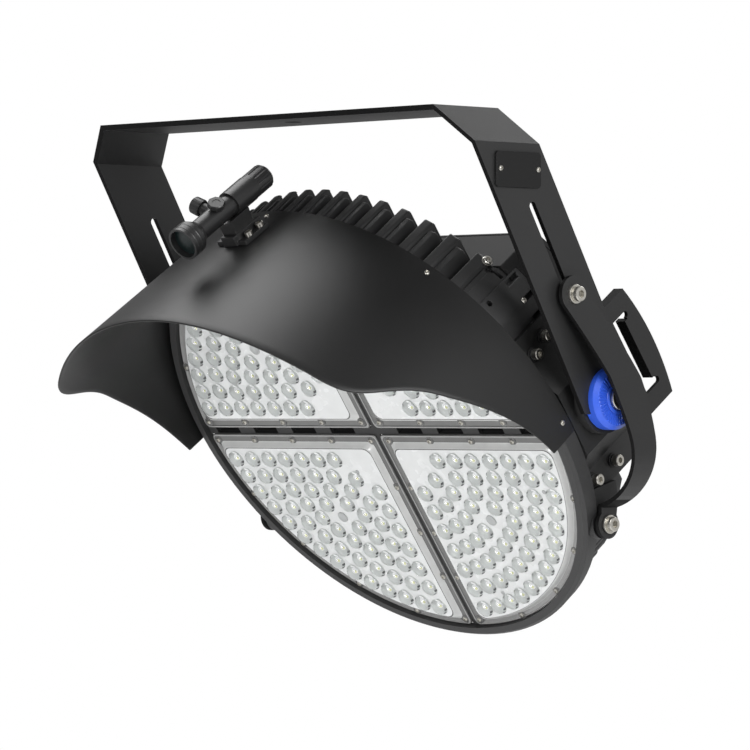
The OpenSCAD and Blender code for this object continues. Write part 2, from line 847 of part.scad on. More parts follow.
// A turret knob on a stem, standing on the neck in one direction about the sight's axis.
module turret(roll, stem, knob, top) {
    crest()
    difference() {
        translate([0, turret_y, sight_up]) rotate([0, roll, 0])
        union() {
            cylinder(r = neck_r * 0.6, h = knob + eps);
            translate([0, 0, knob]) cylinder(r = stem, h = top - knob - 1.5);
            translate([0, 0, top - 1.5 - eps]) cylinder(r1 = stem, r2 = stem - 1.5, h = 1.5);
        }
        sight_rod(neck_front, tube_front, neck_r, neck_r);
    }
}

module sight_top_turret() {
    color([0.05, 0.05, 0.05]) turret(turret_roll, knob_r + 0.5, neck_r + 2, neck_r + 8);
}

module sight_side_turret() {
    color([0.05, 0.05, 0.05]) turret(turret_roll - 90, knob_r, neck_r + stem_l, neck_r + stem_l + knob_l);
}

// The fluted cap at the rear of the sight.
module sight_cap() {
    color([0.05, 0.05, 0.05])
    crest()
    difference() {
        union() {
            sight_rod(cap_front, cap_end - 3, tube_r - 0.5, tube_r - 0.5);
            sight_rod(cap_end - 3 - eps, cap_end, tube_r - 0.5, tube_r - 3);
        }
        for (i = [0 : 11])
            translate([0, 0, sight_up]) rotate([0, i * 30 + 15, 0])
                translate([0, cap_end + 1, tube_r + 0.8]) rotate([90, 0, 0])
                    cylinder(r = 2.4, h = cap_l - 5, $fn = 24);
    }
}

yoke();
name_plate();
rim_ring();
heat_sink();
module_cross();
led_board_1();
led_board_2();
led_board_3();
led_board_4();
lens_cover_1();
lens_cover_2();
lens_cover_3();
lens_cover_4();
visor();
driver_box();
box_lid();
cable_gland();
rear_handle_right();
rear_handle_left();
side_bracket_right();
side_bracket_left();
pivot_spacer_right();
pivot_spacer_left();
dial_right();
dial_left();
pivot_bolt_right();
pivot_bolt_left();
brace_pin_right();
brace_pin_left();
brace_right();
brace_left();
slot_bolt_right();
slot_bolt_left();
sight_foot();
sight_clamp();
sight_tube();
sight_objective();
sight_top_turret();
sight_side_turret();
sight_cap();
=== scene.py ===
# %% [markdown]
# # A round stadium floodlight, dressed in Blender
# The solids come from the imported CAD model, already in place and in metres. This lesson dresses
# them: it softens the metal edges, builds the lenses, screws, ticks and knurls that are too fine
# for the solids, and gives every surface a finish made of nodes. Each step says what the piece is
# on the real lamp, how it could be made, and why this way was chosen.

# %% Load the frame
import json
import math
import bmesh
import bpy
from mathutils import Matrix, Vector
from mathutils.bvhtree import BVHTree


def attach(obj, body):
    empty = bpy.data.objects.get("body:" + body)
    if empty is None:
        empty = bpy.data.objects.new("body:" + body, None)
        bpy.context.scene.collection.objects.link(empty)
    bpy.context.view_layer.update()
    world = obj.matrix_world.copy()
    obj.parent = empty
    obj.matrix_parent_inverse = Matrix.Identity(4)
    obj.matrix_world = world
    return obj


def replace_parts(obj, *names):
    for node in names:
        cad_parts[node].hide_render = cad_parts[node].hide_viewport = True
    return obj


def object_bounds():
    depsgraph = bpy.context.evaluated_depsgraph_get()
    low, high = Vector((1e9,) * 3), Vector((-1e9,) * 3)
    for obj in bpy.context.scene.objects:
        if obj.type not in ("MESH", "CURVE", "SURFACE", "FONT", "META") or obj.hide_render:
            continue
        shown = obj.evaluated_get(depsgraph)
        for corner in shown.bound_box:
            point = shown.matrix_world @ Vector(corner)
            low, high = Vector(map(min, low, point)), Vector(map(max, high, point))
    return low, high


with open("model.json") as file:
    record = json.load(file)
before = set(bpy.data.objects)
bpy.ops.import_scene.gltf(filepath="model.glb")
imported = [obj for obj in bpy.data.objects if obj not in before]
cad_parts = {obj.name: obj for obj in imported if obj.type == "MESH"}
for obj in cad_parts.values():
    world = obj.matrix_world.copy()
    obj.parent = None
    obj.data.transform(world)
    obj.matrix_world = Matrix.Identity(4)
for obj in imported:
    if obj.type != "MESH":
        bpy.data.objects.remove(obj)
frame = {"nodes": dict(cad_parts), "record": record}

MM = 0.001
CAD_BOX = [list(v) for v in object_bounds()]
nodes = frame["nodes"]
BODIES = frame["record"]["behaviour"]["bodies"]
BODY_OF = {node: body for body, held in BODIES.items() for node in held}
HANDS = ((1, "right"), (-1, "left"))
print(len(nodes), "solids, box", [[round(c, 3) for c in v] for v in CAD_BOX])

# %% [markdown]
# ## The lamp's own frame
# The lamp hangs from two pivots and looks down by 36 degrees. Working out every lens and screw in
# room coordinates would be tedious, so one matrix turns lamp coordinates (x across, depth behind
# the rim, height across the face, all in millimetres) into the room's metres.

# %% Lamp coordinates
AIM = math.radians(36)
RAKE = math.radians(30.5)
PIVOT_DROP, PIVOT_BACK, PIVOT_LOW = 325.5, 77, 4
PIVOT = Vector((0, PIVOT_DROP * math.tan(RAKE), -PIVOT_DROP))
ROOM = Matrix.Scale(MM, 4)
LAMP = (ROOM @ Matrix.Translation(PIVOT) @ Matrix.Rotation(AIM, 4, "X")
        @ Matrix.Translation((0, -PIVOT_BACK, PIVOT_LOW)))


def turned(matrix, v):
    """A direction carried through a placing matrix, one unit long."""
    return (matrix.to_3x3() @ Vector(v)).normalized()


print("lamp face centre in the room", [round(c, 4) for c in LAMP @ Vector((0, 0, 0))])

# %% [markdown]
# ## Four small helpers
# Nearly every piece needs the same four steps: stand a new object in the scene, turn an edited
# shape into a mesh, smooth it with its creases kept, or keep what a modifier made as a plain mesh.


# %% Helpers for objects and meshes
def stand(name, data):
    """A new object in the scene, at the origin and unturned."""
    made = bpy.data.objects.new(name, data)
    bpy.context.collection.objects.link(made)
    return made


def mesh_of(shape, name):
    """The edited shape as a mesh. The shape is freed."""
    mesh = bpy.data.meshes.new(name)
    shape.to_mesh(mesh)
    shape.free()
    return mesh


def plain(mesh, name, sharp):
    """Smooth faces, with creases sharper than so many degrees kept."""
    mesh.name = name
    mesh.shade_smooth()
    mesh.set_sharp_from_angle(angle=math.radians(sharp))
    return mesh


def baked(obj, name):
    """The evaluated object as a plain mesh object at the origin."""
    bpy.context.view_layer.update()
    graph = bpy.context.evaluated_depsgraph_get()
    mesh = bpy.data.meshes.new_from_object(obj.evaluated_get(graph))
    bpy.data.objects.remove(obj)
    return stand(name, mesh)


print("helpers ready")

# %% [markdown]
# ## Camera first
# The photograph was taken from far away with a long lens, about 45 degrees to the lamp's right and
# almost level with it. A camera could be placed by eye, but angle, distance and focal length were
# solved from measured corners of the yoke and the rim, so those numbers are written down here.

# %% Camera
TURN, RISE, ROLL = 0.79114, -0.0061, -0.00133
AWAY, SHIFT_RIGHT, SHIFT_UP = 5563.98, 3.424, 69.884
LOOK_AT = Vector((0, 127.09, -367.52))
FOCAL_PX, PICTURE_PX, SENSOR_MM = 4742.32, 750, 36
back = Vector((math.sin(TURN) * math.cos(RISE), -math.cos(TURN) * math.cos(RISE), math.sin(RISE)))
right = Vector((math.cos(TURN), math.sin(TURN), 0))
up = back.cross(right)
right, up = (right * math.cos(ROLL) + up * math.sin(ROLL),
             up * math.cos(ROLL) - right * math.sin(ROLL))
eye = (back * AWAY + right * SHIFT_RIGHT + up * SHIFT_UP + LOOK_AT) * MM
camera = stand("camera", bpy.data.cameras.new("camera"))
camera.matrix_world = Matrix.Translation(eye) @ Matrix((right, up, back)).transposed().to_4x4()
camera.data.sensor_width = SENSOR_MM
camera.data.lens = FOCAL_PX / PICTURE_PX * SENSOR_MM
camera.data.clip_end = 60
bpy.context.scene.camera = camera
print("camera", [round(c, 3) for c in eye], "lens", round(camera.data.lens, 1))

# %% [markdown]
# ## One way to write node trees
# Shader and geometry trees are built from the same small tool. `Tree.add` makes any node from its
# type, its settings and its sockets. `Wire` wraps an output socket, so that `1 - mask * 0.4` adds
# the Math nodes by itself and a finish reads like a formula.


# %% Node writing tools
class Wire:
    """An output socket that can be used in a sum or a product."""

    def __init__(self, tree, socket):
        self.tree, self.socket = tree, socket

    def _math(self, operation, a, b):
        return self.tree.add("ShaderNodeMath", {"operation": operation}, {0: a, 1: b})

    def __add__(self, b): return self._math("ADD", self, b)
    def __rsub__(self, b): return self._math("SUBTRACT", b, self)
    def __mul__(self, b): return self._math("MULTIPLY", self, b)
    def __truediv__(self, b): return self._math("DIVIDE", self, b)


class Tree:
    """Adds nodes to a shader or geometry tree."""

    def __init__(self, tree):
        self.tree = tree
        tree.nodes.clear()

    def add(self, kind, settings=None, sockets=None, out=0):
        """One node. A socket takes a value, a wire or a list of wires. Returns an output's wire."""
        node = self.tree.nodes.new(kind)
        for key, value in (settings or {}).items():
            setattr(node, key, value)
        for key, value in (sockets or {}).items():
            wires = value if isinstance(value, list) else [value]
            if not isinstance(wires[0], Wire):
                node.inputs[key].default_value = value
                continue
            for wire in wires:
                self.tree.links.new(wire.socket, node.inputs[key])
        return Wire(self, node.outputs[out]) if len(node.outputs) else node


def finish(name, build):
    """A material whose surface is what build(tree) returns."""
    material = bpy.data.materials.new(name)
    material.use_nodes = True
    tree = Tree(material.node_tree)
    tree.add("ShaderNodeOutputMaterial", {}, {"Surface": build(tree)})
    return material


OBJECT_COORDINATES = 3


def place_of(tree):
    return tree.add("ShaderNodeTexCoord", out=OBJECT_COORDINATES)


def noise(tree, scale, detail=2.0, rough=0.5, place=None):
    return tree.add("ShaderNodeTexNoise", {}, {"Vector": place or place_of(tree), "Scale": scale,
                                               "Detail": detail, "Roughness": rough})


print("node tools ready")

# %% [markdown]
# ## Studio
# The photograph is a cut-out on white under broad soft light. The backdrop is made white only for
# rays that go straight to the camera or through the clear lenses. Everything else gets a calm grey
# sky and a few large soft lamps, so the black paint stays black and colours come out as written.

# %% World
WHITE = (1, 1, 1, 1)
scene = bpy.context.scene
scene.view_settings.view_transform = "Standard"
scene.world = bpy.data.worlds.new("studio")
scene.world.use_nodes = True
sky = Tree(scene.world.node_tree)
path = sky.tree.nodes.new("ShaderNodeLightPath")
seen = sky.add("ShaderNodeMath", {"operation": "ADD", "use_clamp": True},
               {0: Wire(sky, path.outputs["Is Camera Ray"]),
                1: Wire(sky, path.outputs["Is Transmission Ray"])})
soft_sky = sky.add("ShaderNodeBackground", {}, {"Color": WHITE, "Strength": 0.3})
white_sky = sky.add("ShaderNodeBackground", {}, {"Color": WHITE, "Strength": 1.0})
mixed_sky = sky.add("ShaderNodeMixShader", {}, {0: seen, 1: soft_sky, 2: white_sky})
sky.add("ShaderNodeOutputWorld", {}, {"Surface": mixed_sky})
print("white backdrop, soft sky")

# %% [markdown]
# The fill comes from the right and shows the leg and the bracket. The large lamp over the visor
# draws its long soft sheen, the low one in front lifts the lens fields, and the one behind gives
# the yoke's sloping corner the lighter grey that makes the fold read.

# %% Lamps and floor
MIDDLE = Vector((0, 0.13, -0.33))
LAMPS = {"key": ((-0.6, -2.6, 1.5), 1.6, 8),
         "fill": ((2.5, -0.3, 0.5), 1.6, 54),
         "right_sheen": ((2.2, 2.0, 0.1), 2.2, 5),
         "low_front": ((0.3, -1.75, -1.05), 0.9, 27),
         "over": ((-1.0, 0.1, 2.2), 2.4, 60),
         "rear": ((-0.6, 2.4, 1.45), 1.6, 18)}
for name, (spot, size, power) in LAMPS.items():
    data = bpy.data.lights.new(name, "AREA")
    data.shape, data.size, data.energy = "DISK", size, power
    aimed = (MIDDLE - Vector(spot)).to_track_quat("-Z", "Y")
    stand(name, data).matrix_world = Matrix.Translation(spot) @ aimed.to_matrix().to_4x4()

FLOOR_DROP, HALF = 0.72, 3
z = CAD_BOX[0][2] - FLOOR_DROP
floor_mesh = bpy.data.meshes.new("floor")
floor_mesh.from_pydata([(-HALF, -HALF, z), (HALF, -HALF, z), (HALF, HALF, z), (-HALF, HALF, z)],
                       [], [(0, 1, 2, 3)])
floor = stand("floor", floor_mesh)


def floor_paint(tree):
    tint = noise(tree, 3.0) * 0.02 + 0.86
    return tree.add("ShaderNodeBsdfPrincipled", {}, {"Base Color": tint, "Roughness": 0.6})


floor_mesh.materials.append(finish("studio_floor", floor_paint))
print(len(LAMPS), "lamps, floor at", round(z, 3))

# %% [markdown]
# ## Finishes
# The lamp is nearly all black, so the finishes differ in grain and gloss rather than in colour.
# Folded sheet and castings carry a powder coat: a fine orange-peel bump and patchy gloss. Small
# parts are bright steel, the dials are moulded blue plastic, the sight is anodised. A painted image
# would need every piece unwrapped and would blur close up, so each grain is a noise on object
# coordinates.


# %% Kinds of finish
def blend(tree, factor, dark, light):
    """A colour between two others."""
    return tree.add("ShaderNodeMix", {"data_type": "RGBA"},
                    {0: factor, 6: (*dark, 1), 7: (*light, 1)}, out=2)


def scaled(tone, factor):
    return tuple(min(1, c * factor) for c in tone)


def powder(name, tone, gloss, grain, bump, shine=0.5):
    def build(tree):
        spot = place_of(tree)
        fine = noise(tree, grain, 3.0, 0.6, spot)
        broad = noise(tree, 9.0, 2.0, 0.5, spot)
        shade = blend(tree, broad, (tone * 0.8, tone * 0.8, tone * 0.82),
                      (tone * 1.25, tone * 1.25, tone * 1.27))
        rough = fine * 0.16 + broad * 0.08 + (gloss - 0.12)
        lumps = tree.add("ShaderNodeBump", {},
                         {"Strength": bump, "Distance": 0.0004, "Height": fine})
        return tree.add("ShaderNodeBsdfPrincipled", {},
                        {"Base Color": shade, "Roughness": rough, "Normal": lumps,
                         "Specular IOR Level": shine})
    return finish(name, build)


def metal(name, tone, gloss, streak):
    def build(tree):
        brushed = noise(tree, streak, 4.0, 0.6)
        return tree.add("ShaderNodeBsdfPrincipled", {},
                        {"Base Color": blend(tree, brushed, scaled(tone, 0.8), tone),
                         "Metallic": 1.0, "Roughness": brushed * 0.15 + gloss})
    return finish(name, build)


def moulded(name, tone, gloss, grain, coat=0.0):
    def build(tree):
        fine = noise(tree, grain)
        lumps = tree.add("ShaderNodeBump", {},
                         {"Strength": 0.1, "Distance": 0.0003, "Height": fine})
        return tree.add("ShaderNodeBsdfPrincipled", {},
                        {"Base Color": blend(tree, fine, scaled(tone, 0.9), scaled(tone, 1.08)),
                         "Roughness": fine * 0.1 + gloss, "Normal": lumps, "Coat Weight": coat})
    return finish(name, build)


print("three kinds of finish: powder, metal and moulded")

# %% [markdown]
# The tones are very dark, because black paint returns only about a hundredth of the light. The cut
# edges of the plates are painted darker still, which is painted shade, and the box behind the fins
# has hardly any shine.

# %% Coats and metals
SHEET = powder("powder_coat_sheet", 0.011, 0.46, 900.0, 0.25, 0.45)
# painted shade: the plates' cut edges are drawn darker than their faces
EDGE_PAINTED_SHADE = powder("cut_edge", 0.003, 0.7, 900.0, 0.25, 0.14)
VISOR = powder("powder_coat_visor", 0.005, 0.42, 1100.0, 0.35, 0.4)
CAST = powder("powder_coat_casting", 0.022, 0.52, 700.0, 0.3)
SIGHT = powder("anodised_black", 0.012, 0.36, 1500.0, 0.1)
SHADOW = powder("matt_black", 0.014, 0.6, 500.0, 0.1)
PLATE = powder("satin_black_plate", 0.006, 0.6, 1200.0, 0.1, 0.25)
BOX = powder("powder_coat_box", 0.012, 0.62, 700.0, 0.3, 0.2)
STEEL = metal("stainless_steel", (0.62, 0.60, 0.55), 0.22, 400.0)
BLUE = moulded("dial_blue", (0.022, 0.085, 0.55), 0.36, 260.0, 0.2)
RUBBER = moulded("black_rubber", (0.012, 0.012, 0.012), 0.6, 500.0)
print("eight coats, one metal, two plastics")

# %% [markdown]
# ## Clear plastic, lenses and board
# Each light module is a white board under a clear moulded cover, and every LED sits under its own
# small dome. The flange is clear plastic over dark metal, so it reads grey, and lighter along the
# arc. The lens field sits on the white board, so it reads white. A full stack of glass would
# render slowly and noisily, so the field is opaque white plastic and only the domes are real clear
# plastic.


# %% Clear parts
def clear_dome(tree):
    return tree.add("ShaderNodeBsdfPrincipled", {},
                    {"Base Color": (0.97, 0.98, 0.98, 1),
                     "Roughness": noise(tree, 60.0) * 0.03 + 0.02,
                     "Transmission Weight": 1.0, "IOR": 1.45})


FIELD = moulded("lens_field_white", (0.62, 0.63, 0.63), 0.22, 40.0, 0.3)
SLOPE = moulded("cover_slope", (0.46, 0.465, 0.46), 0.16, 60.0, 0.5)
FLANGE = moulded("cover_flange", (0.10, 0.10, 0.098), 0.14, 60.0, 0.4)
# lighter grey along the arc stretch of the flange, and a painted highlight on the lip's top
ARC_AND_LIP_HIGHLIGHT = moulded("cover_arc", (0.23, 0.23, 0.228), 0.14, 60.0, 0.4)
DOME = finish("lens_clear", clear_dome)
SEAT = moulded("lens_seat_grey", (0.56, 0.58, 0.57), 0.3, 80.0)
# painted dark reflection: dark marks on the flank of each dome
PAINTED_DARK_REFLECTION = moulded("lens_foot_dark", (0.12, 0.125, 0.125), 0.3, 80.0)
# white: the cups under the chips, and a painted highlight on the ledge by each dome
WHITE_CUP_AND_HIGHLIGHT = moulded("lens_facet_white", (0.92, 0.93, 0.93), 0.1, 80.0, 0.5)
PLUG = moulded("field_plug_grey", (0.36, 0.37, 0.37), 0.3, 80.0)
GLASS = moulded("sight_glass_green", (0.002, 0.006, 0.006), 0.3, 40.0)
CHIP = moulded("led_yellow", (0.78, 0.78, 0.46), 0.4, 300.0)
BOARD = moulded("board_white", (0.8, 0.8, 0.79), 0.5, 90.0)
print("clear parts ready")

# %% [markdown]
# ## Softened metal
# No folded or cast edge is razor sharp: a thin bright line runs along each one. The solids are
# exact, so their corners are hard. The mesh of a solid must stay as it is, so each one is copied,
# its loose triangles are joined, a small bevel rounds the edges, and the copy stands in for the
# solid. The casting is the hard one. Its fins have narrow grooves, so only its outer edges are
# marked for the bevel, the tall fins at full weight and the rest at half. The low fins end a
# little before the tall ones in the photograph, so they are drawn 5 mm shorter at the back.

# %% Fins of the casting
CREASE = math.radians(38)
FIN_PITCH = 28
LOW_FIN_SIDES, TALL_FIN_SIDES = (0.4, 5.6), (-10, -0.5)
LOW_FIN_END, LOW_FIN_CUT = 78, 5
SAME_PLACE = 0.05


def in_pitch(x):
    """Where a point lies within its own fin's pitch."""
    return (x + FIN_PITCH / 2) % FIN_PITCH - FIN_PITCH / 2


def mark_fins(shape):
    """Shortens the low fins and says how much of the bevel each outer edge takes."""
    to_lamp = LAMP.inverted()
    for vert in shape.verts:
        x, depth, height = to_lamp @ vert.co
        if LOW_FIN_SIDES[0] < in_pitch(x) < LOW_FIN_SIDES[1] and depth > LOW_FIN_END:
            vert.co = LAMP @ Vector((x, depth - LOW_FIN_CUT, height))
    weight = shape.edges.layers.float.new("bevel_weight_edge")
    for edge in shape.edges:
        if edge.is_convex and edge.calc_face_angle(0) > CREASE:
            places = [in_pitch(v.co.x / MM) for v in edge.verts]
            tall = any(all(abs(q - side) < SAME_PLACE for q in places) for side in TALL_FIN_SIDES)
            edge[weight] = 1.0 if tall else 0.5


print("low fins", LOW_FIN_CUT, "mm shorter than their solids")

# %% [markdown]
# A bevel on crowded edges can throw a point outside the solid, where it shows as a spike. Each
# such point is laid back on the solid's surface. The cut edges of the yoke, the braces and the rear
# handles get a darker finish of their own: painted shade on those edge faces. Evened normals keep
# the large flat faces free of streaks.

# %% Soften the solids
FLAT = math.radians(0.4)
STRAY = 0.02 * MM
CUT_TILT = 0.5
PLATES = ("brace_right", "brace_left", "rear_handle_right", "rear_handle_left")


def lay_back(mesh, hull):
    """Puts points that stand outside the solid back on it, and counts them."""
    pulled = 0
    for vert in mesh.vertices:
        spot, normal, _, far = hull.find_nearest(vert.co)
        if far > STRAY and (vert.co - spot).dot(normal) > 0:
            vert.co = spot
            pulled += 1
    return pulled


def paint_shade_on_edges(mesh, node):
    """Paints shade on the cut edges as a darker finish. The yoke's face along Y; the other plates
    stand across X, so theirs face off X.
    """
    mesh.materials.append(EDGE_PAINTED_SHADE)
    for face in mesh.polygons:
        n = face.normal
        cut = abs(n.y) > CUT_TILT if node == "yoke" else abs(n.x) < CUT_TILT
        face.material_index = int(cut)


def soften(node, material, width):
    casting = node == "heat_sink"
    shape = bmesh.new()
    shape.from_mesh(nodes[node].data)
    bmesh.ops.remove_doubles(shape, verts=shape.verts, dist=1e-6)
    if casting:
        bmesh.ops.dissolve_limit(shape, angle_limit=FLAT, verts=shape.verts, edges=shape.edges)
        mark_fins(shape)
    else:
        bmesh.ops.join_triangles(shape, faces=shape.faces, angle_face_threshold=FLAT,
                                 angle_shape_threshold=math.pi)
    hull = BVHTree.FromBMesh(shape)
    mesh = mesh_of(shape, node + "_soft")
    mesh.materials.clear()
    mesh.materials.append(material)
    for face in mesh.polygons:
        face.material_index = 0
    copy = stand(node + "_soft", mesh)
    bevel = copy.modifiers.new("edge", "BEVEL")
    bevel.width, bevel.segments = width * MM, 3 if casting else 2
    bevel.limit_method, bevel.angle_limit = "WEIGHT" if casting else "ANGLE", CREASE
    bevel.use_clamp_overlap = not casting
    made = baked(copy, node + "_soft")
    pulled = lay_back(made.data, hull)
    plain(made.data, node + "_soft", 50)
    made.modifiers.new("even", "WEIGHTED_NORMAL").keep_sharp = True
    made = baked(made, node + "_skin")
    made.data.name = made.name
    if node == "yoke" or node in PLATES:
        paint_shade_on_edges(made.data, node)
    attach(made, BODY_OF[node])
    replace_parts(made, node)
    print(made.name, len(made.data.polygons), "faces,", pulled, "points laid back")


SKINS = {"yoke": (SHEET, 0.8), "rear_handle_right": (SHEET, 0.8), "rear_handle_left": (SHEET, 0.8),
         "side_bracket_right": (SHEET, 0.8), "side_bracket_left": (SHEET, 0.8),
         "brace_right": (SHEET, 0.8), "brace_left": (SHEET, 0.8), "box_lid": (BOX, 1.0),
         "driver_box": (BOX, 1.5), "name_plate": (PLATE, 0.5), "sight_clamp": (SIGHT, 0.6),
         "sight_foot": (SIGHT, 0.8), "dial_right": (BLUE, 0.8), "dial_left": (BLUE, 0.8),
         "rim_ring": (CAST, 0.8), "heat_sink": (CAST, 1.9)}
for node, (material, width) in SKINS.items():
    soften(node, material, width)

# %% [markdown]
# ## Solids that stay
# The boards, the cross between them, the spacers and most of the sight already have the right
# shape. They keep their meshes and only take a finish.

# %% Finishes on the solids
KEPT = {"module_cross": SHADOW, "cable_gland": RUBBER, "pivot_spacer_right": RUBBER,
        "pivot_spacer_left": RUBBER, "sight_tube": SIGHT, "sight_objective": SIGHT,
        "sight_side_turret": SIGHT, "sight_cap": SIGHT}
KEPT.update({"led_board_%d" % i: BOARD for i in range(1, 5)})
for node, material in KEPT.items():
    nodes[node].data.materials.clear()
    nodes[node].data.materials.append(material)
print(len(KEPT), "solids finished")

# %% [markdown]
# ## Visor
# The visor is one sheet rolled to a shallow cone and cut along a flowing front edge: short at the
# sides, full length over the top. Bevelling the solid leaves long thin triangles that shade in
# streaks. So the sheet is rolled again here from evenly spaced columns, and each column ends in a
# rounded front edge. The front edge is three curves of (height over the axis, share of the length).


# %% The visor's front edge
def cubic(a, b, c, d, t):
    return tuple(p * (1 - t) ** 3 + 3 * q * t * (1 - t) ** 2 + 3 * r * t * t * (1 - t) + w * t ** 3
                 for p, q, r, w in zip(a, b, c, d))


SIDE = ((-9, 0.103), (60, 0.21), (95, 0.36), (135, 0.515))
WAVE = ((135, 0.515), (185, 0.71), (180, 0.93), (226, 0.962))
TOP = ((226, 0.962), (250, 0.979), (285, 1), (319.6, 1))
FRONT_EDGE = [cubic(*SIDE, i / 30) for i in range(31)]
FRONT_EDGE += [cubic(*WAVE, i / 24) for i in range(1, 25)]
FRONT_EDGE += [cubic(*TOP, i / 12) for i in range(1, 13)]


def reach_at(height):
    """How much of the visor's full length is reached at a height over the lamp axis."""
    for (h0, r0), (h1, r1) in zip(FRONT_EDGE, FRONT_EDGE[1:]):
        if height <= h1:
            return r0 + (r1 - r0) * max(0.0, height - h0) / (h1 - h0)
    return FRONT_EDGE[-1][1]


print("front edge in", len(FRONT_EDGE), "points")

# %% [markdown]
# The sheet leans out by 2.9 degrees towards the front, so its radius at the edge depends on how
# far out the edge lies. A few rounds of trying settle both for each column.

# %% Rolled visor
VISOR_IN, VISOR_THICK, VISOR_LONG, VISOR_BACK = 300.3, 2.5, 212, 22
# rounded front edge: height over the inner face, and how far behind the front
LIP, LIP_DEEP = ((2.1, 0.35), (1.25, 0), (0.4, 0.35)), 1.2
FIRST_TRY, ROUNDS = -100.0, 14
LEAN_ANGLE = math.radians(2.9)
LEAN = math.tan(LEAN_ANGLE)
LOW_END, LOW_RADIUS = -9, 306


def roll_radius(depth):
    """The sheet's inner radius: it leans out towards the front."""
    return VISOR_IN + (VISOR_BACK - depth) * LEAN


def rolled_visor(columns=180, rows=24):
    shape = bmesh.new()
    low = math.asin(LOW_END / LOW_RADIUS)
    loops = []
    for c in range(columns + 1):
        a = low + (math.pi - 2 * low) * c / columns
        front = FIRST_TRY
        for _ in range(ROUNDS):
            front = -VISOR_LONG * reach_at(roll_radius(front) * math.sin(a))
        depths = [VISOR_BACK + (front + LIP_DEEP - VISOR_BACK) * i / rows
                  for i in range(rows + 1)]
        section = [(VISOR_THICK, d) for d in depths]
        section += [(thick, front + behind) for thick, behind in LIP]
        section += [(0, d) for d in reversed(depths)]
        loop = []
        for thick, d in section:
            r = roll_radius(d) + thick
            loop.append(shape.verts.new(LAMP @ Vector((r * math.cos(a), d, r * math.sin(a)))))
        loops.append(loop)
    for one, two in zip(loops, loops[1:]):
        for i in range(len(one)):
            j = (i + 1) % len(one)
            shape.faces.new((one[i], one[j], two[j], two[i]))
    shape.faces.new(loops[0])
    shape.faces.new(loops[-1][::-1])
    bmesh.ops.recalc_face_normals(shape, faces=shape.faces)
    mesh = mesh_of(shape, "visor_sheet")
    mesh.materials.append(VISOR)
    sheet = stand("visor_sheet", plain(mesh, "visor_sheet", 50))
    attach(sheet, "lamp_head")
    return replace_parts(sheet, "visor")


print("visor", len(rolled_visor().data.polygons), "faces")

# %% [markdown]
# ## Module covers
# A cover is a quarter of a disc with a flat flange, a lip round its edge and a raised lens field
# on sloping sides. It could be cut from solids, but then the rounded corners would not flow from
# level to level. Here one function draws the rounded quarter at any inset, every level has the
# same number of points, and the levels are bridged like hoops. Along the arc the flange is lighter
# in the photograph, as if the board showed through, so that stretch takes a lighter grey.


# %% Outline of a quarter
def quarter_outline(x0, z0, r, f, steps=7, arc=40):
    """A rounded quarter: corner, straight edge, corner, arc, corner, straight edge."""
    points = []
    for i in range(steps + 1):
        a = math.radians(180 + 90 * i / steps)
        points.append((x0 + f + f * math.cos(a), z0 + f + f * math.sin(a)))
    cx = math.sqrt((r - f) ** 2 - (z0 + f) ** 2)
    a1 = math.atan2(z0 + f, cx)
    for i in range(steps + 1):
        a = -math.pi / 2 + (a1 + math.pi / 2) * i / steps
        points.append((cx + f * math.cos(a), z0 + f + f * math.sin(a)))
    cz = math.sqrt((r - f) ** 2 - (x0 + f) ** 2)
    a2 = math.atan2(cz, x0 + f)
    for i in range(1, arc):
        a = a1 + (a2 - a1) * i / arc
        points.append((r * math.cos(a), r * math.sin(a)))
    for i in range(steps + 1):
        a = a2 + (math.pi - a2) * i / steps
        points.append((x0 + f + f * math.cos(a), cz + f * math.sin(a)))
    return points


GAP_ACROSS, GAP_UP, COVER_R = 3.5, 5, 286.5
print(len(quarter_outline(GAP_ACROSS, GAP_UP, COVER_R, 6)), "points round a quarter")

# %% [markdown]
# The levels run from the cover's back to its raised field: the lip, the flange, the slope with its
# soft shoulder, and a thin dark line where the field begins. The top of the lip takes the arc's
# lighter grey: a painted highlight along the lip.

# %% Covers
COVER_FINISHES = (FLANGE, SLOPE, FIELD, ARC_AND_LIP_HIGHLIGHT)
ON_FLANGE, ON_SLOPE, ON_FIELD, ON_ARC_AND_LIP_HIGHLIGHT = range(4)
ARC_STRETCH = range(15, 55)  # the outline's steps along the arc
FLANGE_DEPTH, FIELD_DEPTH = 6.5, 0.4
# depth, inset at the straight edges, inset at the arc, corner radius, finish of the strip before it
LEVELS = [(9.4, 0, 0, 6, ON_FLANGE), (6.2, 0, 0, 6, ON_FLANGE), (5.5, 0.7, 0.7, 6, ON_FLANGE),
          # the lip's top strip: a painted highlight in the arc's lighter grey
          (5.5, 2.6, 1.6, 6, ON_ARC_AND_LIP_HIGHLIGHT), (FLANGE_DEPTH, 3.4, 2.2, 6, ON_FLANGE),
          (FLANGE_DEPTH, 10.6, 6.8, 8, ON_FLANGE), (6.0, 12.0, 7.5, 9, ON_SLOPE),
          (1.6, 15.2, 11.0, 10, ON_SLOPE), (0.8, 16.4, 12.0, 10.4, ON_SLOPE),
          (0.6, 17.4, 13.0, 11, ON_FLANGE), (FIELD_DEPTH, 18.2, 13.8, 11.4, ON_FIELD)]


